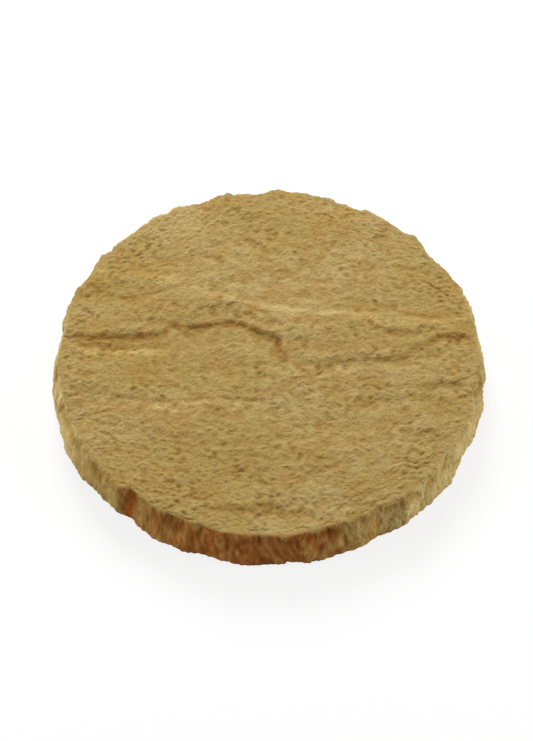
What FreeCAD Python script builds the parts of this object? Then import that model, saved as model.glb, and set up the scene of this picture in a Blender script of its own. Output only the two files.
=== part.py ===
import FreeCAD, Part
import os
from math import ceil, cos, hypot, pi, radians, sin
from random import Random

# Garden stepping stone: a round slab of cast stone, poured face down in a mould taken from split sandstone.
# It has a plain flat back, a rim that looks broken off with a hammer, and a riven face on top.
# Millimetres, +Z up. The origin is the middle of the flat back, and the front of the stone is at -Y.

# Overall sizes
DIAMETER = 300.0       # mean width over the widest part of the rim
THICKNESS = 30.0       # from the flat back to the highest bed of the face

# Section of the rim, from the back upwards
FOOT_INSET = 0.6       # the flat back ends this far inside the widest part
FOOT_HEIGHT = 3.0      # height of the widest part
RIM_DRAFT = 4.5        # the rim leans in by this much, so that the slab leaves its mould
RIM_BULGE = 0.9        # how far the middle of the rim stands out from a straight lean
ARRIS_HEIGHT = 4.5     # height of the worn top edge
ARRIS_INSET = 3.2      # how far the worn top edge falls back

# Broken surface of the rim: rows of facets with scattered corners, and the larger spalls
FACETS = 112           # in each row
FACET_ROWS = 3         # between the foot and the arris
FACET_SKEW = 0.35      # how far a corner strays along the rim, as a share of a facet's width
FACET_SLIP = 1.5       # how far a corner strays up or down
FACET_SCATTER = 0.45   # how far a corner strays in or out
# Each spall: angle in degrees (0 = +X, 270 = front), width along the rim, depth at the foot and at the arris
RIM_SPALLS = [
    (34, 30, 0.6, 1.6),
    (50, 20, 0.4, 1.5),
    (68, 22, 0.6, 1.5),
    (92, 24, 1.5, 4.8),
    (108, 26, 0.3, 1.2),
    (132, 30, 0.6, 1.3),
    (152, 24, 1.0, 1.5),
    (176, 28, 0.3, 2.2),
    (194, 26, 1.0, 2.0),
    (225, 22, 1.4, 0.6),
    (232, 20, 0.8, 4.6),
    (286, 30, 0.6, 1.0),
    (299, 24, 2.8, 4.8),
    (324, 20, 0.4, 2.2),
    (332, 24, 2.2, 0.8),
    (352, 28, 2.6, 1.0),
]

# Riven face: the long waves and short swells of its beds, and the ledges left where flakes split off
WAVE_HEIGHT = 0.5      # above and below the bed's mean height
WAVE_LENGTH = 95.0
SWELL_HEIGHT = 0.6     # each bed has swells of its own
SWELL_LENGTH = 46.0
SWELL_TURN = 2.4       # radians that the swells of each next bed start later
# Each wave or swell: how steeply it runs along X and Y, its start in radians, and its share of the height
WAVES = [
    (0.35, 1.0, 0.0, 0.6),
    (0.8, -0.5, 1.0, 0.4),
]
SWELLS = [
    (0.3, 1.0, 4.7, 0.3),
    (-0.45, 0.8, 0.8, 0.3),
    (0.75, 0.35, 5.1, 0.2),
    (-0.15, 1.5, 5.2, 0.2),
]
BED_SPACING = 11.0     # about, between the points that a bed is drawn through
BED_MARGIN = 15.0      # a bed is drawn this far past the sides of its flake
WALL_MARGIN = 1.0      # and the walls of the flake this far below the bed
SPLIT_STOCK = 4.0      # the slab is cast this much too high, and that splits off the highest bed
TORN_LEAN = 0.6        # run of a sharp ledge for each millimetre of its height
WORN_LEAN = 2.5        # run of a ledge that is worn to a slope
TEARS = 2              # how often each stretch of a ledge's edge is torn in two
TEAR_STRAY = 0.1       # how far the corner of a tear strays along its stretch, as a share of its length
TEAR_SIDEWAYS = 0.11   # and how far it stands off to one side

# Ledges right across the face, from left to right, as points in shares of the rim's radius.
# The flake beside a ledge has split off. Its bed lies lower by the drop, at the ledge and at the rim.
BEHIND, IN_FRONT = 1, -1
WHOLE_FACE = [(-1, -1), (1, 1)]

MAIN_LEDGE = [
    (-1.10, 0.09), (-0.92, 0.085), (-0.81, 0.06), (-0.66, 0.06), (-0.50, 0.07), (-0.465, 0.13),
    (-0.35, 0.12), (-0.26, 0.155), (-0.12, 0.155), (-0.04, 0.105), (0.04, 0.065), (0.075, 0.0),
    (0.18, -0.055), (0.28, -0.065), (0.53, -0.055), (0.61, -0.03), (0.70, 0.03), (0.80, 0.075),
    (0.93, 0.065), (1.10, 0.04),
]
MAIN_DROP = 0.9
MAIN_DROP_AT_RIM = 0.8

BACK_LEDGE = [
    (-1.10, 0.46), (-0.82, 0.45), (-0.67, 0.455), (-0.50, 0.405), (-0.40, 0.345), (-0.23, 0.285),
    (-0.06, 0.235), (0.10, 0.20), (0.35, 0.18), (0.52, 0.165), (0.68, 0.135), (0.82, 0.13), (0.93, 0.15),
    (1.10, 0.19),
]
BACK_DROP = 1.2
BACK_DROP_AT_RIM = 0.6

FRONT_LEDGE = [
    (-1.10, -0.24), (-0.86, -0.22), (-0.66, -0.26), (-0.55, -0.31), (-0.40, -0.295), (-0.25, -0.30),
    (-0.07, -0.32), (0.10, -0.295), (0.27, -0.285), (0.45, -0.26), (0.66, -0.245), (0.78, -0.275),
    (1.10, -0.29),
]
FRONT_DROP = 1.7
FRONT_DROP_AT_RIM = 1.2

# Hollows, each with a ledge round its back that runs out where the bed rises to the front:
# depth below the first bed at the back and at the front, lean of the ledge, and outline in the same shares.
# The first list lies at the foot of the main ledge, and goes no further back than that.
LEDGE_FOOT_HOLLOWS = [
    (2.1, 1.3, WORN_LEAN, [
        (-0.96, 0.10), (-0.88, 0.015), (-0.74, -0.005), (-0.60, -0.015), (-0.51, 0.0), (-0.45, 0.07),
        (-0.50, 0.14),
    ]),
    (2.8, 0.2, WORN_LEAN, [
        (-0.46, 0.16), (-0.40, 0.05), (-0.28, -0.08), (-0.12, -0.15), (0.04, -0.13), (0.09, -0.05),
        (0.10, 0.10), (-0.04, 0.20), (-0.2, 0.26),
    ]),
    (3.0, 1.2, WORN_LEAN, [
        (-0.16, 0.14), (-0.05, 0.03), (0.02, -0.05), (0.08, -0.08), (0.105, 0.02), (0.08, 0.10),
        (-0.08, 0.18),
    ]),
    (1.9, 0.9, WORN_LEAN, [
        (0.50, -0.06), (0.62, -0.11), (0.78, -0.06), (0.90, 0.02), (0.88, 0.10), (0.68, 0.08), (0.54, 0.02),
    ]),
]
HOLLOWS = [
    (1.0, 0.3, TORN_LEAN, [
        (-0.47, 0.09), (-0.42, 0.16), (-0.36, 0.195), (-0.28, 0.235), (-0.18, 0.235), (-0.08, 0.195),
        (0.03, 0.12), (0.02, 0.04), (-0.28, 0.04),
    ]),
    (1.0, -0.8, TORN_LEAN, [
        (0.42, -0.04), (0.46, 0.07), (0.53, 0.115), (0.62, 0.10), (0.72, 0.08), (0.84, 0.06), (0.72, -0.05),
        (0.55, -0.10),
    ]),
    (0.8, -0.3, WORN_LEAN, [
        (-0.90, 0.24), (-0.82, 0.34), (-0.68, 0.40), (-0.54, 0.37), (-0.44, 0.30), (-0.38, 0.21),
        (-0.64, 0.20),
    ]),
    (1.9, 0.0, TORN_LEAN, [
        (-0.90, -0.25), (-0.86, -0.19), (-0.76, -0.195), (-0.66, -0.22), (-0.60, -0.28), (-0.75, -0.33),
    ]),
    (2.2, 0.0, TORN_LEAN, [
        (0.63, -0.26), (0.68, -0.205), (0.77, -0.185), (0.86, -0.20), (0.91, -0.26), (0.77, -0.33),
    ]),
    (2.5, 0.7, TORN_LEAN, [
        (0.48, -0.52), (0.56, -0.44), (0.66, -0.435), (0.76, -0.455), (0.81, -0.52), (0.64, -0.58),
    ]),
    (2.5, 0.7, TORN_LEAN, [
        (-0.82, -0.51), (-0.74, -0.43), (-0.62, -0.42), (-0.49, -0.435), (-0.40, -0.51), (-0.60, -0.57),
    ]),
    (2.3, 0.1, TORN_LEAN, [
        (-0.38, -0.87), (-0.28, -0.80), (-0.12, -0.81), (0.04, -0.80), (0.14, -0.87), (-0.12, -0.94),
    ]),
    (2.4, 0.4, WORN_LEAN, [
        (0.46, 0.90), (0.51, 0.72), (0.58, 0.63), (0.69, 0.57), (0.84, 0.60), (0.84, 0.80), (0.62, 0.95),
    ]),
]

rim_radius = DIAMETER / 2
shoulder_height = THICKNESS - ARRIS_HEIGHT

cast_height = THICKNESS + SPLIT_STOCK
split_reach = rim_radius + BED_MARGIN


def ruled_solid(outlines):
    """Solid with straight walls from outline to outline."""
    solid, ruled = True, True
    return Part.makeLoft(outlines, solid, ruled)


def spall_share(angle, spall_angle, width):
    """How deep a spall is at this angle, from 0 outside it to 1 in its middle."""
    turn = (angle - spall_angle + 180) % 360 - 180
    distance = abs(radians(turn)) * rim_radius
    if distance > width / 2:
        return 0.0
    return (1 + cos(2 * pi * distance / width)) / 2


def spall_depth(angle, share_up):
    """Depth of the spalls at this angle, share_up of the way from the foot to the face."""
    depth = 0.0
    for spall_angle, width, foot_depth, arris_depth in RIM_SPALLS:
        here = foot_depth + (arris_depth - foot_depth) * share_up
        depth += here * spall_share(angle, spall_angle, width)
    return depth


def broken_outline(number, height, inset, slip):
    """Closed outline through the corners of the facets round the rim, about one height."""
    dice = Random(number)
    corners = []
    for facet in range(FACETS):
        angle = 360 / FACETS * (facet + FACET_SKEW * dice.uniform(-1, 1))
        scatter = FACET_SCATTER * dice.uniform(-1, 1)
        radius = rim_radius - inset - spall_depth(angle, min(height / THICKNESS, 1.0)) + scatter
        outward = FreeCAD.Vector(cos(radians(angle)), sin(radians(angle)), 0)
        corners.append(outward * radius + FreeCAD.Vector(0, 0, height + slip * dice.uniform(-1, 1)))
    return Part.makePolygon(corners + corners[:1])


def cast_blank():
    """The slab with its broken rim, before the face is split."""
    levels = [(0.0, FOOT_INSET, 0.0), (FOOT_HEIGHT, 0.0, 0.0)]
    for row in range(1, FACET_ROWS + 1):
        share = row / FACET_ROWS
        height = FOOT_HEIGHT + share * (shoulder_height - FOOT_HEIGHT)
        levels.append((height, RIM_DRAFT * share - 4 * RIM_BULGE * share * (1 - share), FACET_SLIP))
    arris_slope = ARRIS_INSET / ARRIS_HEIGHT
    levels.append((cast_height, RIM_DRAFT + arris_slope * (cast_height - shoulder_height), 0.0))
    return ruled_solid([broken_outline(number, *level) for number, level in enumerate(levels)])


def wave_rise(x, y, height, length, waves, later):
    """Height of waves that start this much later, measured from their highest crest."""
    turn = 2 * pi / length
    rise = 0.0
    for run_x, run_y, start, share in waves:
        rise += share * sin(turn * (run_x * x + run_y * y) + start + later)
    return height * (rise - 1)


def bed_height(number, x, y):
    """Height of a bed with its waves and swells, as if no stone above it had split off."""
    waves = wave_rise(x, y, WAVE_HEIGHT, WAVE_LENGTH, WAVES, 0.0)
    return THICKNESS + waves + wave_rise(x, y, SWELL_HEIGHT, SWELL_LENGTH, SWELLS, SWELL_TURN * number)


def bed_steps(low_share, high_share):
    """Places of a bed's points, from a margin before one share of the radius to a margin past another."""
    low = rim_radius * low_share - BED_MARGIN
    high = rim_radius * high_share + BED_MARGIN
    spans = 2 + ceil((high - low) / BED_SPACING)
    return [low + (high - low) * step / spans for step in range(spans + 1)]


def stock_above_bed(number, depth_at, outline):
    """The stock above a bed that lies depth_at(y) below the first one, over the box round an outline."""
    x_steps = bed_steps(min(x for x, y in outline), max(x for x, y in outline))
    y_steps = bed_steps(min(y for x, y in outline), max(y for x, y in outline))
    points = []
    for x in x_steps:
        points.append([FreeCAD.Vector(x, y, bed_height(number, x, y) - depth_at(y)) for y in y_steps])
    bed = Part.BSplineSurface()
    bed.interpolate(points)
    return bed.toShape().extrude(FreeCAD.Vector(0, 0, cast_height))


def flake_heights(depth):
    """Heights from below a bed of this depth to above the slab as it was cast."""
    return THICKNESS - 2 * (WAVE_HEIGHT + SWELL_HEIGHT) - depth - WALL_MARGIN, cast_height + SPLIT_STOCK


def torn(line):
    """The same line with each stretch torn in two, time after time, the corner of each tear to one side."""
    dice = Random(str(line))
    for tear in range(TEARS):
        corners = []
        for (x, y), (next_x, next_y) in zip(line, line[1:]):
            along, aside = 0.5 + TEAR_STRAY * dice.uniform(-1, 1), TEAR_SIDEWAYS * dice.uniform(-1, 1)
            run_x, run_y = next_x - x, next_y - y
            corners += [(x, y), (x + along * run_x - aside * run_y, y + along * run_y + aside * run_x)]
        line = corners + line[-1:]
    return line


def beside_ledge(ledge, side, lean, depth):
    """Everything on one side of a ledge across the face, up to its leaning riser."""
    outlines = []
    for height in flake_heights(depth):
        run = side * lean * (THICKNESS - height)
        edge = [FreeCAD.Vector(rim_radius * x, rim_radius * y + run, height) for x, y in torn(ledge)]
        far_right = FreeCAD.Vector(edge[-1].x, side * split_reach, height)
        far_left = FreeCAD.Vector(edge[0].x, side * split_reach, height)
        outlines.append(Part.makePolygon([*edge, far_right, far_left, edge[0]]))
    return ruled_solid(outlines)


def crossing_flake(number, ledge, side, lean, drop, drop_at_rim):
    """The flake that split off beside a ledge across the face, down to a bed that dips to the rim."""
    middle = rim_radius * sum(y for x, y in ledge) / len(ledge)

    def depth_at(y):
        return drop + (drop_at_rim - drop) * (y - middle) / (side * rim_radius - middle)

    return stock_above_bed(number, depth_at, WHOLE_FACE).common(beside_ledge(ledge, side, lean, drop))


def hollow_flake(number, back_depth, front_depth, lean, outline):
    """The flake that split out of a hollow, down to a bed that rises to the front."""
    back = rim_radius * max(y for x, y in outline)
    front = rim_radius * min(y for x, y in outline)

    def depth_at(y):
        return front_depth + (back_depth - front_depth) * (y - front) / (back - front)

    middle_x = sum(x for x, y in outline) / len(outline)
    middle_y = sum(y for x, y in outline) / len(outline)
    edge_height = THICKNESS - WAVE_HEIGHT - SWELL_HEIGHT - front_depth
    outlines = []
    for height in flake_heights(back_depth):
        edge = []
        for x, y in torn(outline + outline[:1]):
            grow = rim_radius + lean * (height - edge_height) / hypot(x - middle_x, y - middle_y)
            from_middle = FreeCAD.Vector(x - middle_x, y - middle_y, 0) * grow
            edge.append(FreeCAD.Vector(rim_radius * middle_x, rim_radius * middle_y, height) + from_middle)
        outlines.append(Part.makePolygon(edge))
    return stock_above_bed(number, depth_at, outline).common(ruled_solid(outlines))


def split_block():
    """Block of stone, wider than the slab, with its top split along the beds."""
    reach = rim_radius + BED_MARGIN / 2
    corner = FreeCAD.Vector(-reach, -reach, -THICKNESS)
    block = Part.makeBox(2 * reach, 2 * reach, THICKNESS + cast_height, corner)
    deepest = max(hollow[0] for hollow in LEDGE_FOOT_HOLLOWS)
    below_main_ledge = beside_ledge(MAIN_LEDGE, IN_FRONT, TORN_LEAN, deepest)
    flakes = [
        stock_above_bed(0, lambda y: 0.0, WHOLE_FACE),
        crossing_flake(1, MAIN_LEDGE, IN_FRONT, TORN_LEAN, MAIN_DROP, MAIN_DROP_AT_RIM),
        crossing_flake(2, BACK_LEDGE, BEHIND, WORN_LEAN, BACK_DROP, BACK_DROP_AT_RIM),
        crossing_flake(3, FRONT_LEDGE, IN_FRONT, TORN_LEAN, FRONT_DROP, FRONT_DROP_AT_RIM),
    ]
    for hollow in LEDGE_FOOT_HOLLOWS:
        flakes.append(hollow_flake(len(flakes), *hollow).common(below_main_ledge))
    for hollow in HOLLOWS:
        flakes.append(hollow_flake(len(flakes), *hollow))
    for flake in flakes:
        block = block.cut(flake)
    return block


os.makedirs("parts", exist_ok=True)
stepping_stone = cast_blank().common(split_block()).Solids[0]
stepping_stone.exportStep("parts/stepping_stone.step")
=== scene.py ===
from math import radians, tan

import bpy
import numpy as np
from mathutils import Matrix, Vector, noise
from mathutils.bvhtree import BVHTree


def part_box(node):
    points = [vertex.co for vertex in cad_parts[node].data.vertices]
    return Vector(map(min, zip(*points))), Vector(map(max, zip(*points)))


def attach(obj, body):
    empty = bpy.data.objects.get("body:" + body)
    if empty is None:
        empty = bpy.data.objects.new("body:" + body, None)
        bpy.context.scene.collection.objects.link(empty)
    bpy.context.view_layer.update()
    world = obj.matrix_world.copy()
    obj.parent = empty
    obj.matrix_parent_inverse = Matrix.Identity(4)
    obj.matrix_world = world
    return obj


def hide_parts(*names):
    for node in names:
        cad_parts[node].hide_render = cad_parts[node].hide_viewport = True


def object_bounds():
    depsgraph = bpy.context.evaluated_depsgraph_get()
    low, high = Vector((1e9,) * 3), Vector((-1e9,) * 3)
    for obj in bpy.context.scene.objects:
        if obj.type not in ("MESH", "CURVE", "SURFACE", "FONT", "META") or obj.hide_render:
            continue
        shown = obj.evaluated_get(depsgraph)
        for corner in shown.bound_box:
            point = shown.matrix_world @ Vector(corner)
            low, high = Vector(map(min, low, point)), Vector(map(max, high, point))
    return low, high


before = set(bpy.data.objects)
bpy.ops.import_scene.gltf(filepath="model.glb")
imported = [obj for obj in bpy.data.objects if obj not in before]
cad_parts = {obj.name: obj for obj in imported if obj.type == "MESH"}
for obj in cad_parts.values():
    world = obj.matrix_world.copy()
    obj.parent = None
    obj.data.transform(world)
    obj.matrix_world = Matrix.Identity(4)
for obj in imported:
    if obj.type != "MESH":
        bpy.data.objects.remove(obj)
cad_low, cad_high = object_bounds()


# The slab: buff concrete, poured face down as one piece into a rubber mould taken from split sandstone.
# Its skin is laid over the solid: a fine net on the face, rows over the arris and down the rim, and rings
# on the flat back. Its sizes are in millimetres, and the mesh is made in metres.
MM = 0.001
FACE_CELLS = 248        # across the face, each a little over a millimetre
ARRIS_ROWS = 8          # from the face over the worn top edge to the rim
RIM_ROWS = 25           # down the rim to the foot
ARRIS_INSET = 12.0      # the rows of the arris start this far inside the widest part
ARRIS_DROP = 5.0        # and turn about a point this far below the face
FOOT_CLEARANCE = 0.02   # the lowest row is read just above the foot's edge
BACK_RINGS = (0.985, 0.94, 0.82, 0.6, 0.3)    # shares of the foot's radius

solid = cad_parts["stepping_stone"].data
solid_points = [point.co / MM for point in solid.vertices]
solid_sides = [side.vertices for side in solid.polygons]
slab = BVHTree.FromPolygons(solid_points, solid_sides)
slab_low, slab_high = (np.array(corner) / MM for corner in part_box("stepping_stone"))
thickness = slab_high[2]
face_radius = slab_high[0] - ARRIS_INSET
turning_height = thickness - ARRIS_DROP

# Face points: a square net drawn into a disc, so that its border is spaced evenly round the arris
net = np.sqrt(2) * np.sin(np.radians(np.linspace(-45, 45, FACE_CELLS + 1)))
net_x, net_y = np.meshgrid(net, net)
face_x = face_radius * net_x * np.sqrt(1 - net_y**2 / 2)
face_y = face_radius * net_y * np.sqrt(1 - net_x**2 / 2)
face_guide = np.stack([face_x, face_y, np.full_like(face_x, turning_height)], -1).reshape(-1, 3)
face_out = np.tile([0.0, 0.0, 1.0], (len(face_guide), 1))

# Rim points: columns that go on from the net's border, turning over the arris and then straight down
columns = 4 * FACE_CELLS
column_angle = np.radians(np.arange(columns) * 360 / columns - 45)
arris_lean = 90 - 90 * np.arange(1, ARRIS_ROWS + 1) / ARRIS_ROWS
row_lean = np.radians(np.concatenate([arris_lean, np.zeros(RIM_ROWS)]))
share_up = np.concatenate([np.ones(ARRIS_ROWS), 1 - np.arange(1, RIM_ROWS + 1) / RIM_ROWS])
row_height = np.maximum(turning_height * share_up, FOOT_CLEARANCE)
lean, angle = np.meshgrid(row_lean, column_angle, indexing="ij")
height = np.repeat(row_height[:, None], columns, 1)
sideways = np.stack([np.cos(angle), np.sin(angle)], -1)
rim_guide = np.concatenate([sideways * face_radius, height[..., None]], -1).reshape(-1, 3)
rim_out = np.concatenate([sideways * np.cos(lean)[..., None], np.sin(lean)[..., None]], -1).reshape(-1, 3)

# Each point of the skin is found by a ray that comes back along its way out to its guide
guide = np.concatenate([face_guide, rim_guide])
out = np.concatenate([face_out, rim_out])


def ripple(points, *humps):
    """Smooth unevenness made of humps, each with a height, a length along x, y and z, and its own seed."""
    total = np.zeros(len(points))
    for hump_height, length, seed in humps:
        total += hump_height * np.array([noise.noise(place) for place in (points / length + seed).tolist()])
    return total


def ease(share):
    """0 up to 0 and 1 from 1 on, with a soft rise between."""
    share = np.clip(share, 0, 1)
    return share * share * (3 - 2 * share)


# Ledges tear unevenly, so the face is read from the solid at places shifted a little this way and that.
# The main ledge has crumbled back: each place along x, and how far.
TEAR_SHIFT = 1.3
TORN_ALONG_X = (1.0, 9.0, 5.3), (0.7, 4.0, 9.1)
TORN_ALONG_Y = (1.0, 7.0, 21.7), (0.7, 3.5, 33.9)
FADE_AT_ARRIS = 0.06                      # share of the face's radius
CRUMBLED_BACK = [(-74, 4.2), (-62, 1.5), (-54, 2.5), (-22, 2.5), (-8, 0.5), (5, 0.0)]
CRUMBLED_MIDDLE, CRUMBLED_REACH = 13, 9   # along y
RAY_REACH = 60.0
from_middle = np.hypot(guide[:, 0], guide[:, 1]) / face_radius
fade = ease((1 - from_middle) / FADE_AT_ARRIS)
crumbled = np.interp(guide[:, 0], *zip(*CRUMBLED_BACK))
crumbled *= np.exp(-((guide[:, 1] - CRUMBLED_MIDDLE) / CRUMBLED_REACH)**2)
tear_x = TEAR_SHIFT * ripple(guide, *TORN_ALONG_X)
tear_y = TEAR_SHIFT * ripple(guide, *TORN_ALONG_Y) - crumbled
shift = np.stack([fade * tear_x, fade * tear_y, np.zeros(len(guide))], -1)
hits = [slab.ray_cast(start + RAY_REACH * way, -way)[0] for start, way in zip(guide + shift, out)]
skin = np.array(hits) - shift

# How far each point lies from the broken edge: below 0 on the face, above 0 down the rim
ARRIS_WIDTH = 5.0
on_net = len(face_guide)
edge = skin[on_net:].reshape(-1, columns, 3)[ARRIS_ROWS - 1]
edge_radius = np.hypot(edge[:, 0], edge[:, 1])
skin_angle = np.arctan2(skin[:, 1], skin[:, 0])
edge_beyond = np.interp(skin_angle, column_angle, edge_radius, period=2 * np.pi)
to_edge = np.maximum(edge_beyond - np.hypot(skin[:, 0], skin[:, 1]), 0)
from_arris = np.where(guide[:, 2] < turning_height, turning_height - skin[:, 2], -to_edge)
rim_share = ease(1 + from_arris / ARRIS_WIDTH)
face_share = 1 - rim_share


def averaged(grid, cells):
    """The net's values, each averaged with those up to that many cells away, twice over."""
    window = 2 * cells + 1
    for axis in (0, 1, 0, 1):
        margin = [(0, 0), (0, 0)]
        margin[axis] = (cells + 1, cells)
        sums = np.pad(grid, margin, mode="edge").cumsum(axis)
        count = grid.shape[axis]
        ends = np.take(sums, range(window, window + count), axis)
        grid = (ends - np.take(sums, range(count), axis)) / window
    return grid


SPOT_FIRMNESS = 1.6     # over 1, so that a spot is full in its middle


def near(spots):
    """How near each point lies to a spot's middle. Each spot: its place along x and y, and its reach."""
    share = np.zeros(len(skin))
    for spot_x, spot_y, reach in spots:
        away = np.hypot(skin[:, 0] - spot_x, skin[:, 1] - spot_y)
        share = np.maximum(share, ease(SPOT_FIRMNESS * (1 - away / reach)))
    return share


# Weather has rounded the ledges, but the arch of the main one and the nick beside it are still sharp
ROUNDED_CELLS = 1
SHARP_SPOTS = [(-52, 17, 16), (-35, 21, 20), (-18, 21, 16), (-4, 13, 17), (12, -8, 12)]
across = FACE_CELLS + 1
cast_height = skin[:on_net, 2].reshape(across, across)
rounded = averaged(cast_height, ROUNDED_CELLS)
rounding = (fade * (1 - near(SHARP_SPOTS)))[:on_net]
skin[:on_net, 2] += rounding * (rounded - cast_height).ravel()

# Riven face: thin layers that split off unevenly, short pits where the stone tore, and its sandy grain
LAYER = 0.19
LAYER_HUMPS = (1.8, (36, 17, 30), 3.1), (1.7, (17, 6.2, 12), 17.4), (1.2, (8.5, 3.1, 6), 29.8)
LAYER_STEEPNESS = 2.2               # over 1, so that a layer is flat up to its steep edge
SLANT_HUMPS = 3.0, 9.0, 15.1        # pits and grain lean a little off the beds' own direction
PIT_DEPTH = 0.7
PIT_HUMPS = 1.0, (4.6, 2.2, 4), 41.2
PIT_START, PIT_WALL = 0.14, 0.28
PITTED = 0.4                        # about this share of the face has pits
PITTED_HUMPS = 1.2, (26, 18, 20), 7.7
ROUGH_SPOTS = [(20, -28, 26), (48, -30, 30), (72, -32, 22), (-25, 30, 22), (18, 12, 18)]
PITTED_MORE = 0.5                   # in the rough spots
GRAIN_HEIGHT = 0.66
GRAIN_HUMPS = (1.0, (4.2, 2.0, 2.0), 77.7), (0.7, (2.4, 1.6, 1.5), 57.2)
level = ripple(skin, *LAYER_HUMPS)
step = np.floor(level)
layers = step + ease((level - step) * LAYER_STEEPNESS + 1 - LAYER_STEEPNESS)
slanted = skin.copy()
slanted[:, 1] += ripple(skin, SLANT_HUMPS)
pitted = ease(PITTED + ripple(skin, PITTED_HUMPS) + PITTED_MORE * near(ROUGH_SPOTS))
pits = pitted * ease((ripple(slanted, PIT_HUMPS) - PIT_START) / PIT_WALL)
grain = ripple(slanted, *GRAIN_HUMPS)
face_relief = LAYER * layers - PIT_DEPTH * pits + GRAIN_HEIGHT * grain

# Thin flakes have left small ledges. Each: how far the bed drops on the left of a line as it is drawn,
# how wide the drop is, and the line's points along x and y. The bed comes up again within a short way.
SMALL_LEDGES = [
    (0.8, 3.0, [(-136, 1), (-118, -1), (-95, -2), (-66, -1)]),
    (0.65, 2.6, [(-97, -43), (-80, -45), (-63, -46), (-33, -44), (0, -47)]),
    (0.5, 2.6, [(4, -14), (28, -19), (64, -17)]),
    (0.25, 1.2, [(2, -42), (-30, -39), (-60, -40), (-78, -42)]),
    (0.5, 1.2, [(-89, -40), (-107, -35), (-134, -31)]),
    (0.5, 1.2, [(8, 20), (-2, 31), (-17, 38), (-33, 38), (-46, 33)]),
    (0.4, 1.2, [(-48, 30), (-60, 27), (-72, 24)]),
    (0.5, 1.4, [(-71, 4), (-70, 28)]),
    (0.7, 1.2, [(14, -22), (11, -7), (7, 6), (-10, 18)]),
    (0.5, 1.4, [(84, -11), (60, -9), (34, -9)]),
    (0.5, 1.4, [(-60, 56), (-83, 48), (-100, 45), (-114, 50), (-126, 60)]),
    (0.5, 1.4, [(93, 113), (84, 103), (72, 94)]),
    (0.4, 2.4, [(68, 93), (90, 92), (116, 85)]),
    (0.5, 1.2, [(110, 13), (92, 14), (72, 19)]),
    (0.5, 1.3, [(135, -31), (118, -29), (98, -33)]),
    (0.5, 1.3, [(30, -127), (0, -125), (-34, -123)]),
    (0.4, 1.3, [(70, -112), (40, -116), (18, -115)]),
]
FLAKE_REACH = 8.0
LINE_FADE = 9.0         # a line fades over this length at either end
WAVER_X, WAVER_Y = (1.8, 7.0, 63.1), (1.8, 7.0, 39.4)
wavering = skin[:, :2] + np.stack([ripple(skin, WAVER_X), ripple(skin, WAVER_Y)], -1)


def left_of(line):
    """How far each point lies left of a line, below 0 to its right, and a share that fades at the ends."""
    line = np.array(line, float)
    lengths = np.linalg.norm(np.diff(line, axis=0), axis=1)
    nearest = np.full(len(skin), np.inf)
    left, travelled = np.zeros(len(skin)), np.zeros(len(skin))
    passed = 0.0
    for start, end, length in zip(line[:-1], line[1:], lengths):
        way = (end - start) / length
        offset = wavering - start
        progress = np.clip(offset @ way, 0, length)
        away = np.linalg.norm(offset - progress[:, None] * way, axis=1)
        side = np.sign(offset[:, 1] * way[0] - offset[:, 0] * way[1])
        left = np.where(away < nearest, side * away, left)
        travelled = np.where(away < nearest, passed + progress, travelled)
        nearest = np.minimum(away, nearest)
        passed += length
    return left, ease(np.minimum(travelled, passed - travelled) / LINE_FADE)


for drop, run, line in SMALL_LEDGES:
    left, share = left_of(line)
    face_relief -= drop * share * ease(left / run) * np.exp(-np.maximum(left, 0) / FLAKE_REACH)

# Broken rim: scallops left by the hammer, upright tears that lean with the blow, a hollow here and there
# under the arris, one deep upright notch at the left of the front, and a wide spall at the left
SCALLOP_DEPTH = 3.4
SCALLOP_SIZE = (19, 19, 34)
BLOW_HUMPS = 16, 30.0, 51.6                   # how far the blow leans over the height of the rim
TEAR_DEPTH = 0.75
TEAR_HUMPS = (1.0, (4.0, 4.0, 15), 61.3), (0.9, (2.2, 2.2, 8), 71.9)
UNDERCUT_DEPTH = 1.0
UNDERCUT_DROP, UNDERCUT_SPREAD = 2.0, 4.0     # how far below the arris, and how far up and down
UNDERCUT_SHARE = 0.35                         # about this share of the way round the rim
UNDERCUT_HUMPS = 1.8, (11, 11, 22), 23.3
NOTCH_ANGLE, NOTCH_WIDTH, NOTCH_DEPTH = 231.5, 2.2, 1.6    # angle and width in degrees, 270 = front
SPALL_ANGLE, SPALL_WIDTH, SPALL_DEPTH = 172.5, 4.5, 3.6
CRUST_HUMPS = 0.6, 2.4, 81.4
plan = skin * (1, 1, 0)                       # seen from above, so that a blow is alike from top to foot
blow = ripple(plan, BLOW_HUMPS) * (skin[:, 2] / thickness - 0.5)
blow_turn = blow / slab_high[0]
turned_x = skin[:, 0] * np.cos(blow_turn) - skin[:, 1] * np.sin(blow_turn)
turned_y = skin[:, 0] * np.sin(blow_turn) + skin[:, 1] * np.cos(blow_turn)
turned = np.stack([turned_x, turned_y, skin[:, 2]], -1)
blow_angle = np.degrees(skin_angle - blow_turn)


def turn_from(angles, angle):
    """How far the angles are turned from the given one, between -180 and 180 degrees."""
    return (angles - angle + 180) % 360 - 180


def struck(angle, width):
    """How deep the rim is struck at each point by a blow at that angle, from 1 in its middle to 0."""
    return np.exp(-(turn_from(blow_angle, angle) / width)**2)


scallop = np.array([noise.voronoi(place)[0][0] for place in (turned / SCALLOP_SIZE).tolist()])
tears = ripple(turned, *TEAR_HUMPS)
notch = struck(NOTCH_ANGLE, NOTCH_WIDTH)
under_arris = np.exp(-((turning_height - UNDERCUT_DROP - skin[:, 2]) / UNDERCUT_SPREAD)**2)
undercut = under_arris * ease(UNDERCUT_SHARE + ripple(turned, UNDERCUT_HUMPS))
undercut = np.maximum(undercut, notch)
rim_relief = SCALLOP_DEPTH * scallop**2 + TEAR_DEPTH * tears + ripple(skin, CRUST_HUMPS)
rim_relief -= UNDERCUT_DEPTH * undercut + NOTCH_DEPTH * notch
rim_relief -= SPALL_DEPTH * struck(SPALL_ANGLE, SPALL_WIDTH)

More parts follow.
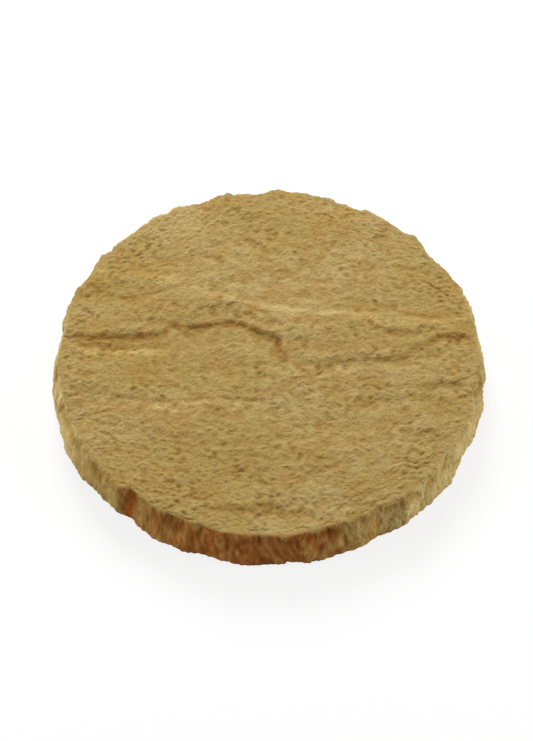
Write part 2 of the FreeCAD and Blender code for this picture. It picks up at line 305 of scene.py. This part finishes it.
# Arris: chips and crumbs have come off it, more out of the rim than out of the face
CHIP_DEPTH = 2.0
CHIP_HUMPS = 1.0, 17.0, 91.8
CHIP_START, CHIP_WALL = 0.05, 0.4
CRUMB_DEPTH = 0.6
CRUMB_HUMPS = 1.0, (6, 6, 9), 47.3
CRUMB_START, CRUMB_WALL = 0.05, 0.3
CHIPPED_FACE, CHIPPED_RIM = 4.0, 9.0     # how far they reach
chipped = np.exp(-(from_arris / np.where(from_arris < 0, CHIPPED_FACE, CHIPPED_RIM))**2)
chips = CHIP_DEPTH * ease((ripple(plan, CHIP_HUMPS) - CHIP_START) / CHIP_WALL)
chips += CRUMB_DEPTH * ease((ripple(skin, CRUMB_HUMPS) - CRUMB_START) / CRUMB_WALL)

# The relief stands a little out of the solid and more into it, and stays inside the solid's box
FACE_INSIDE, RIM_INSIDE = 65, 70         # percentage of the points that lie inside the solid
face_zero = np.percentile(face_relief[rim_share == 0], FACE_INSIDE)
rim_zero = np.percentile(rim_relief[rim_share == 1], RIM_INSIDE)
relief = face_share * (face_relief - face_zero) + rim_share * (rim_relief - rim_zero)
relief -= chips * chipped
skin = np.clip(skin + out * relief[:, None], slab_low, slab_high)
skin[-columns:, 2] = 0.0

# Back: rings drawn in from the foot, each after the first with half the points of the last
back_rings = []
foot = skin[-columns:]
for number, share in enumerate(BACK_RINGS):
    back_rings.append(foot[::2**number] * (share, share, 0))
back_middle = np.zeros((1, 3))

places = np.concatenate([skin, *back_rings, back_middle])

faces = []
for row in range(FACE_CELLS):
    for column in range(FACE_CELLS):
        corner = row * across + column
        faces.append((corner, corner + 1, corner + across + 1, corner + across))

last = FACE_CELLS
border = [row * across + last for row in range(last)]
border += [last * across + last - column for column in range(last)]
border += [(last - row) * across for row in range(last)]
border += list(range(last))
ring_above = border
for row in range(ARRIS_ROWS + RIM_ROWS):
    first = on_net + row * columns
    ring = list(range(first, first + columns))
    for column in range(columns):
        beside = (column + 1) % columns
        faces.append((ring_above[column], ring[column], ring[beside], ring_above[beside]))
    ring_above = ring

first = len(skin)
for points in back_rings:
    ring = list(range(first, first + len(points)))
    for column in range(len(ring)):
        beside = (column + 1) % len(ring)
        if len(ring_above) == len(ring):
            faces.append((ring_above[column], ring[column], ring[beside], ring_above[beside]))
        else:
            between = 2 * column + 1
            after = (2 * column + 2) % len(ring_above)
            faces.append((ring_above[2 * column], ring[column], ring_above[between]))
            faces.append((ring_above[between], ring[column], ring[beside], ring_above[after]))
    first += len(points)
    ring_above = ring
middle = len(places) - 1
for column in range(len(ring_above)):
    faces.append((ring_above[column], middle, ring_above[(column + 1) % len(ring_above)]))

stone_mesh = bpy.data.meshes.new("stone")
stone_mesh.from_pydata((places * MM).tolist(), [], faces)
stone_mesh.polygons.foreach_set("use_smooth", [True] * len(stone_mesh.polygons))
stone = bpy.data.objects.new("stone", stone_mesh)
bpy.context.collection.objects.link(stone)


def keep(name, values, back_value=0.0):
    """Keeps a value for each point of the skin, and one for all of the back, for the colouring."""
    kept_values = np.full(len(places), back_value, np.float32)
    kept_values[:len(values)] = values
    stone_mesh.attributes.new(name, "FLOAT", "POINT").data.foreach_set("value", kept_values)


def for_skin(grid):
    """The net's values for its part of the skin, and 0 for the rest."""
    values = np.zeros(len(skin))
    values[:on_net] = grid.ravel()
    return values


# Ochre and painted shade go into what lies lower than its neighbours, and a painted highlight pales what
# stands proud of them
EVENED_CELLS, PROUD_CELLS, HOLLOW_CELLS = 1, 3, 7
face_height = skin[:on_net, 2].reshape(across, across)
evened = averaged(face_height, EVENED_CELLS)
recess = for_skin(averaged(face_height, HOLLOW_CELLS) - evened)
keep("pits", pits * face_share)
keep("stands", for_skin(evened - averaged(face_height, PROUD_CELLS)))

# Ochre stain, which also serves as painted shade, darkens the wider hollows and spots at the left and
# right, and, as painted shade from the light behind, a little of the face towards the front
OCHRE_SPOTS = [(-98, 52, 34), (-122, 50, 22), (128, 10, 26), (118, -38, 28), (-110, 4, 26), (-75, -20, 24)]
OCHRE_SHADE_IN_HOLLOWS, OCHRE_IN_SPOTS, OCHRE_SHADE_IN_FRONT = 0.8, 0.6, 0.4
HOLLOW_START, HOLLOW_DEPTH = 0.2, 0.8
ochre_and_shade = np.maximum(
    OCHRE_SHADE_IN_HOLLOWS * ease((recess - HOLLOW_START) / HOLLOW_DEPTH),
    OCHRE_IN_SPOTS * near(OCHRE_SPOTS),
)
keep("ochre_and_shade", np.maximum(ochre_and_shade, OCHRE_SHADE_IN_FRONT * ease(-skin[:, 1] / slab_high[0])))

# Iron stains the foot of the main ledge and, more faintly, that of small ones. A painted highlight pales
# the
# lit crests of other ledges. Each line: how strong it is, and its points along x and y.
IRON_LINES = [
    (0.9, [(-145, 13), (-117, 11), (-97, 11), (-72, 14)]),
    (0.6, [(-136, 6), (-112, 4), (-92, 7)]),
    (0.9, [(-73, 23), (-50, 18), (-37, 22), (-13, 21)]),
    (1.0, [(-16, 21), (-3, 14), (5, 8), (10, -3)]),
    (0.5, [(8, 4), (11, -5), (13, -20)]),
    (0.6, [(76, -12), (99, -4), (117, 7), (140, 10)]),
    (0.4, [(35, -9), (60, -9), (84, -11)]),
    (0.4, [(-46, 34), (-33, 38), (-17, 38), (-2, 31), (8, 20)]),
    (0.4, [(-135, -31), (-107, -35), (-89, -40)]),
    (0.4, [(-70, 4), (-69, 26)]),
    (0.3, [(-126, 60), (-114, 50), (-100, 45), (-83, 48), (-60, 56)]),
    (0.3, [(72, 94), (84, 103), (93, 113)]),
    (0.4, [(72, 18), (92, 14), (110, 13)]),
    (0.4, [(98, -33), (118, -30), (135, -32)]),
    (0.3, [(-34, -123), (0, -125), (30, -127)]),
]
LIT_CREST_LINES = [
    (0.6, [(-130, 69), (-77, 65), (-50, 52), (-10, 37), (17, 30), (57, 28), (93, 22), (125, 21)]),
    (1.0, [(-138, -2), (-100, -3), (-64, -2)]),
    (1.0, [(-100, -45), (-63, -48), (-33, -46), (3, -49)]),
    (0.9, [(2, -16), (28, -21), (66, -19)]),
    (0.5, [(-136, -35), (-107, -40), (-88, -45)]),
]
IRON_WIDTH, LIT_CREST_WIDTH = 2.2, 2.8
UNBROKEN = 0.75              # about this share of a line shows
BROKEN_HUMPS = 1.5, 11.0, 27.5
IRON_IN_BREAKS = 0.3         # share of the iron that is left where its line breaks


def along(lines, width):
    """A line's strength on the line itself, falling softly to 0 at either side of it."""
    most = np.zeros(len(skin))
    for strength, line in lines:
        left, share = left_of(line)
        most = np.maximum(most, strength * share * np.exp(-(left / width)**2))
    return most


unbroken = ease(UNBROKEN + ripple(skin, BROKEN_HUMPS))
iron_left = IRON_IN_BREAKS + (1 - IRON_IN_BREAKS) * unbroken
keep("iron", along(IRON_LINES, IRON_WIDTH) * face_share * iron_left)
keep("lit_crests", along(LIT_CREST_LINES, LIT_CREST_WIDTH) * face_share * unbroken)
keep("back", np.zeros(len(skin)), back_value=1.0)

# Stains on the rim, each at an angle in degrees (0 = +X, 270 = front) with half its width. Their borders
# are torn, and they start at the arris.
RUST_STAINS = [(262, 35)]
CREAM_STAINS = [(201, 16), (326, 27), (122, 16), (66, 14), (8, 16), (178, 10)]
ORANGE_STAINS = [(251, 13), (238, 5), (293, 9), (112, 9), (38, 8), (150, 9)]
STAIN_FIRMNESS = 1.7                         # over 1, so that a stain is full in its middle
BORDER_HUMPS = 8, (14, 14, 22), 13.9         # degrees
BORDER_TEARS = 4
ARRIS_FIRMNESS, ARRIS_CLEAR = 3.0, 1.3       # how sharply a stain starts, and how far down the arris
RUST_HUMPS = 3, (7, 7, 20), 67.9
RUST_FADE, RUST_ABOVE = 3.0, 1.3             # it fades in over this, from so many fades above the arris
RUST_ON_CRESTS = 0.55                        # share of the rust that is left between the tears
CREST_LEVEL, CREST_STEEPNESS = 0.7, 0.9
ORANGE_HEIGHT = 14.0                         # the orange stays near the foot
ORANGE_HUMPS = 12, (8, 8, 30), 37.1
ORANGE_FULL = 1.3                            # over 1, so that it is full at the foot
CALM_IN_CREAM = 0.5                          # the tears show less there
SHADED_FOOT_HEIGHT = 2.5                             # height of the painted shade at the foot
rim_angle = np.degrees(np.arctan2(skin[:, 1], skin[:, 0]))
torn_angle = rim_angle + ripple(turned, BORDER_HUMPS) + BORDER_TEARS * tears
below_arris = ease(ARRIS_FIRMNESS * rim_share - ARRIS_CLEAR)


def stained(stains):
    """How much of a stain lies at each point, from 0 to 1."""
    share = np.zeros(len(skin))
    for stain_angle, half_width in stains:
        turn = np.abs(turn_from(torn_angle, stain_angle))
        share = np.maximum(share, ease(STAIN_FIRMNESS * (1 - turn / half_width)))
    return share * below_arris


rust_edge = from_arris + ripple(turned, RUST_HUMPS)
in_tears = ease(CREST_LEVEL - CREST_STEEPNESS * tears)
rust = stained(RUST_STAINS) * ease(RUST_ABOVE + rust_edge / RUST_FADE)
rust *= RUST_ON_CRESTS + (1 - RUST_ON_CRESTS) * in_tears
orange_height = ORANGE_HEIGHT + ripple(turned, ORANGE_HUMPS)
cream = stained(CREAM_STAINS)
keep("rust", np.maximum(rust, notch * below_arris))
keep("cream", cream)
keep("orange", stained(ORANGE_STAINS) * ease(ORANGE_FULL - skin[:, 2] / orange_height))
keep("tears", rim_share * tears * (1 - CALM_IN_CREAM * cream))
keep("undercut", rim_share * undercut)
keep("rim", rim_share)
keep("foot", rim_share * ease(1 - skin[:, 2] / SHADED_FOOT_HEIGHT))

# Cast stone, coloured right through with iron oxide: buff, clouded with a paler and a redder mix
BUFF = (0.347, 0.244, 0.078, 1)
PALE_BUFF = (0.393, 0.287, 0.111, 1)
RED_BUFF = (0.352, 0.226, 0.069, 1)
OCHRE_AND_SHADE = (0.33, 0.212, 0.05, 1)
LEDGE_BROWN = (0.215, 0.083, 0.009, 1)
RIM_CREAM = (0.51, 0.385, 0.155, 1)
RIM_RUST = (0.285, 0.094, 0.015, 1)
RIM_ORANGE = (0.44, 0.155, 0.022, 1)
BACK_BUFF = (0.46, 0.345, 0.165, 1)
# Painted shade makes what lies low darker and browner, and a painted highlight makes what stands proud
# paler:
# shares of the colour itself. The same shares also tint the freckles and sand at random.
IN_SHADE = (0.66, 0.53, 0.28, 1)
PALER = (1.28, 1.34, 1.5, 1)
RIM_HIGHLIGHT = (1.4, 1.38, 1.2, 1)

cast_stone = bpy.data.materials.new("cast_stone")
cast_stone.use_nodes = True
nodes, links = cast_stone.node_tree.nodes, cast_stone.node_tree.links
stone_shader = nodes["Principled BSDF"]


def add_node(kind, inputs, **settings):
    """Adds a node to the look being made. Its inputs are values, or the outputs that feed them."""
    node = nodes.new(kind)
    for name, value in settings.items():
        setattr(node, name, value)
    for name, value in inputs.items():
        if isinstance(value, bpy.types.NodeSocket):
            links.new(value, node.inputs[name])
        else:
            node.inputs[name].default_value = value
    return node


EVEN = (1, 1, 1)
LONGER = (0.55, 1, 1)        # along x, as the beds split
UPRIGHT = (1, 1, 0.5)        # along z, as the rim tears
where = add_node("ShaderNodeTexCoord", {}).outputs["Object"]


def patches(size, detail, squeeze=EVEN, place=where):
    """Cloudy value about 0.5, with patches of that size in millimetres, longer where squeeze is under 1."""
    squeezed = add_node("ShaderNodeVectorMath", {0: place, 1: squeeze}, operation="MULTIPLY").outputs[0]
    inputs = {"Vector": squeezed, "Scale": 1 / (size * MM), "Detail": detail, "Roughness": 0.6}
    return add_node("ShaderNodeTexNoise", inputs).outputs["Fac"]


def kept(name):
    """The value that was kept on the mesh under this name."""
    return add_node("ShaderNodeAttribute", {}, attribute_name=name).outputs["Fac"]


def graded(value, low, high, most=1.0):
    """0 where the value is low, rising to the most where it is high."""
    inputs = {"Value": value, "From Min": low, "From Max": high, "To Min": 0.0, "To Max": most}
    return add_node("ShaderNodeMapRange", inputs).outputs["Result"]


def both(share, other):
    """One share times the other."""
    return add_node("ShaderNodeMath", {0: share, 1: other}, operation="MULTIPLY").outputs[0]


FACTOR, FIRST_COLOUR, SECOND_COLOUR, MIXED_COLOUR = 0, 6, 7, 2    # sockets of a mix


def stain(colour, tint, share):
    """The colour with a share of another in its place."""
    inputs = {FACTOR: share, FIRST_COLOUR: colour, SECOND_COLOUR: tint}
    return add_node("ShaderNodeMix", inputs, data_type="RGBA").outputs[MIXED_COLOUR]


def shade(colour, tint, share):
    """The colour, darkened or paled by a share of a tint."""
    inputs = {FACTOR: share, FIRST_COLOUR: colour, SECOND_COLOUR: tint}
    node = add_node("ShaderNodeMix", inputs, data_type="RGBA", blend_type="MULTIPLY", clamp_result=False)
    return node.outputs[MIXED_COLOUR]


cloud = patches(size=44, detail=2, squeeze=LONGER)
mottle = patches(size=11, detail=2, squeeze=LONGER)
freckle = patches(size=3.8, detail=2, squeeze=LONGER)
sand = patches(size=1.9, detail=0)

# Short dashes of light and shade, which wind about on the face and stand upright on the rim
WINDING_LENGTH, WINDING_SHIFT = 9, 6
inputs = {"Vector": where, "Scale": 1 / (WINDING_LENGTH * MM)}
winding = add_node("ShaderNodeTexNoise", inputs).outputs["Color"]
inputs = {0: winding, 1: [WINDING_SHIFT * MM] * 3, 2: where}
wound = add_node("ShaderNodeVectorMath", inputs, operation="MULTIPLY_ADD").outputs[0]
face_dashes = patches(size=2.0, detail=0, place=wound)
rim_dashes = graded(patches(size=2.0, detail=2, squeeze=UPRIGHT), low=0.25, high=0.75)
FIRST_VALUE, SECOND_VALUE, MIXED_VALUE = 2, 3, 0
inputs = {FACTOR: kept("rim"), FIRST_VALUE: face_dashes, SECOND_VALUE: rim_dashes}
dashes = add_node("ShaderNodeMix", inputs).outputs[MIXED_VALUE]

BACK_SHARE = 0.8
PIT_SHADE = 0.4
UNDERCUT_SHADE = 0.85
colour = stain(BUFF, PALE_BUFF, graded(cloud, low=0.42, high=0.62))
colour = stain(colour, RED_BUFF, graded(mottle, low=0.43, high=0.63))
# Ochre stain with painted shade, in the hollows and towards the front
colour = stain(colour, OCHRE_AND_SHADE, both(kept("ochre_and_shade"), graded(mottle, low=0.2, high=0.55)))
# Painted highlight along the lit crests of ledges
colour = shade(colour, PALER, kept("lit_crests"))
colour = stain(colour, RIM_CREAM, both(kept("cream"), graded(mottle, low=0.25, high=0.45)))
colour = stain(colour, RIM_RUST, kept("rust"))
colour = stain(colour, RIM_ORANGE, both(kept("orange"), graded(freckle, low=0.47, high=0.64, most=0.8)))
colour = stain(colour, LEDGE_BROWN, both(kept("iron"), graded(freckle, low=0.2, high=0.5, most=0.9)))
colour = stain(colour, BACK_BUFF, both(kept("back"), BACK_SHARE))
# Painted shade in the pits
colour = shade(colour, IN_SHADE, both(kept("pits"), PIT_SHADE))
# Painted shade in what lies low, and a painted highlight on what stands proud
colour = shade(colour, IN_SHADE, graded(kept("stands"), low=0.0, high=-0.2, most=0.35))
colour = shade(colour, PALER, graded(kept("stands"), low=0.0, high=0.2, most=0.3))
# Painted shade in the low parts of the rim's tears, and a painted highlight on their ridges
colour = shade(colour, IN_SHADE, graded(kept("tears"), low=0.0, high=-0.7, most=0.7))
colour = shade(colour, RIM_HIGHLIGHT, graded(kept("tears"), low=0.1, high=0.8, most=0.6))
# Painted shade under the arris and in the deep notch
colour = shade(colour, IN_SHADE, both(kept("undercut"), UNDERCUT_SHADE))
# Painted shade along the foot, where the stone meets the floor
colour = shade(colour, IN_SHADE, kept("foot"))
colour = shade(colour, IN_SHADE, graded(freckle, low=0.52, high=0.78, most=0.2))
# Painted shade in the dark dashes, which lie low, and a painted highlight on the light ones, which stand
# higher
colour = shade(colour, IN_SHADE, graded(dashes, low=0.52, high=0.72, most=0.22))
colour = shade(colour, PALER, graded(dashes, low=0.48, high=0.28, most=0.12))
colour = shade(colour, IN_SHADE, graded(sand, low=0.54, high=0.72, most=0.18))
colour = shade(colour, PALER, graded(sand, low=0.46, high=0.28, most=0.12))
links.new(colour, stone_shader.inputs["Base Color"])

SAND_HEIGHT = 0.35           # millimetres
DASH_HEIGHT = -0.65          # below 0, because the dark dashes lie low
inputs = {"Height": sand, "Distance": SAND_HEIGHT * MM, "Strength": 1.0}
sanded = add_node("ShaderNodeBump", inputs).outputs["Normal"]
inputs = {"Height": dashes, "Distance": DASH_HEIGHT * MM, "Strength": 1.0, "Normal": sanded}
links.new(add_node("ShaderNodeBump", inputs).outputs["Normal"], stone_shader.inputs["Normal"])
stone_shader.inputs["Roughness"].default_value = 0.92
stone_shader.inputs["Specular IOR Level"].default_value = 0.15
stone_mesh.materials.append(cast_stone)

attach(stone, "root")
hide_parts("stepping_stone")


# The floor: a plain white studio sweep that the stone lies on. It is seen as white, and keeps a little of
# the stone's shadow.
FLOOR_SIZE = 6.0        # metres
FLOOR_GLOW = 0.8        # share of the floor that is seen as plain white, the rest as it is lit
half = FLOOR_SIZE / 2
floor_corners = [(-half, -half, 0), (half, -half, 0), (half, half, 0), (-half, half, 0)]
floor_mesh = bpy.data.meshes.new("floor")
floor_mesh.from_pydata(floor_corners, [], [(0, 1, 2, 3)])
floor = bpy.data.objects.new("floor", floor_mesh)
bpy.context.collection.objects.link(floor)

white_floor = bpy.data.materials.new("white_floor")
white_floor.use_nodes = True
nodes, links = white_floor.node_tree.nodes, white_floor.node_tree.links
nodes.clear()


def seen():
    """1 for what the camera sees, also in a polished or clear surface, and 0 for the light that falls."""
    ray = add_node("ShaderNodeLightPath", {}).outputs
    straight_or_polished = add_node("ShaderNodeMath", {0: ray["Is Camera Ray"], 1: ray["Is Glossy Ray"]})
    inputs = {0: straight_or_polished.outputs[0], 1: ray["Is Transmission Ray"]}
    return add_node("ShaderNodeMath", inputs, use_clamp=True).outputs[0]


lit_white = add_node("ShaderNodeBsdfDiffuse", {"Color": (0.9, 0.9, 0.9, 1)}).outputs[0]
plain_white = add_node("ShaderNodeEmission", {"Color": (1, 1, 1, 1), "Strength": 1.0}).outputs[0]
inputs = {0: both(seen(), FLOOR_GLOW), 1: lit_white, 2: plain_white}
floor_look = add_node("ShaderNodeMixShader", inputs).outputs[0]
add_node("ShaderNodeOutputMaterial", {"Surface": floor_look})
floor_mesh.materials.append(white_floor)


# The studio light: a soft box above and behind the stone, a lower one at each side, and an even white room.
# Together they light the face at a plain level.
ROOM_LIGHT = 0.32
room = bpy.data.worlds.new("room")
room.use_nodes = True
nodes, links = room.node_tree.nodes, room.node_tree.links
inputs = {"Value": seen(), "To Min": ROOM_LIGHT, "To Max": 1.0}
room_strength = add_node("ShaderNodeMapRange", inputs).outputs["Result"]
nodes["Background"].inputs["Color"].default_value = (1, 1, 1, 1)
links.new(room_strength, nodes["Background"].inputs["Strength"])
bpy.context.scene.world = room

# Each soft box: direction it stands in (0 = behind the stone, degrees to the left), its tilt from overhead,
# its width in metres and its power in watts
SOFT_BOXES = {
    "back_box": (8, 54, 0.8, 33.6),
    "left_box": (97, 70, 1.0, 16.0),
    "right_box": (-97, 70, 1.0, 17.7),
}
BOX_DISTANCE = 1.8
for name, (turn, tilt, width, power) in SOFT_BOXES.items():
    soft_box = bpy.data.lights.new(name, "AREA")
    soft_box.shape = "DISK"
    soft_box.size = width
    soft_box.energy = power
    stand = bpy.data.objects.new(name, soft_box)
    stand.matrix_world = (
        Matrix.Rotation(radians(turn), 4, "Z")
        @ Matrix.Rotation(radians(-tilt), 4, "X")
        @ Matrix.Translation((0, 0, BOX_DISTANCE))
    )
    bpy.context.collection.objects.link(stand)


# The camera: looks down at the stone from the front, at the photograph's angle and framing.
# Its shift puts the middle of the stone where it lies in the photograph.
PICTURE_WIDTH, PICTURE_HEIGHT = 533, 741
VIEW_ANGLE = 30.0            # over the picture's height, in degrees
ELEVATION = 55.2             # degrees
DISTANCE = 0.95409           # from the middle of the stone, in metres
ROLL = -0.484                # degrees
MIDDLE_AT = (268.4, 359.1)   # the middle of the stone in the picture, in pixels
camera = bpy.data.cameras.new("camera")
camera.lens = camera.sensor_width / 2 / tan(radians(VIEW_ANGLE / 2))
camera.shift_x = (PICTURE_WIDTH / 2 - MIDDLE_AT[0]) / PICTURE_HEIGHT
camera.shift_y = (MIDDLE_AT[1] - PICTURE_HEIGHT / 2) / PICTURE_HEIGHT
camera_stand = bpy.data.objects.new("camera", camera)
camera_stand.matrix_world = (
    Matrix.Translation((0, 0, (cad_low.z + cad_high.z) / 2))
    @ Matrix.Rotation(radians(90 - ELEVATION), 4, "X")
    @ Matrix.Translation((0, 0, DISTANCE))
    @ Matrix.Rotation(radians(ROLL), 4, "Z")
)
bpy.context.collection.objects.link(camera_stand)
bpy.context.scene.camera = camera_stand
bpy.context.scene.view_settings.view_transform = "Standard"
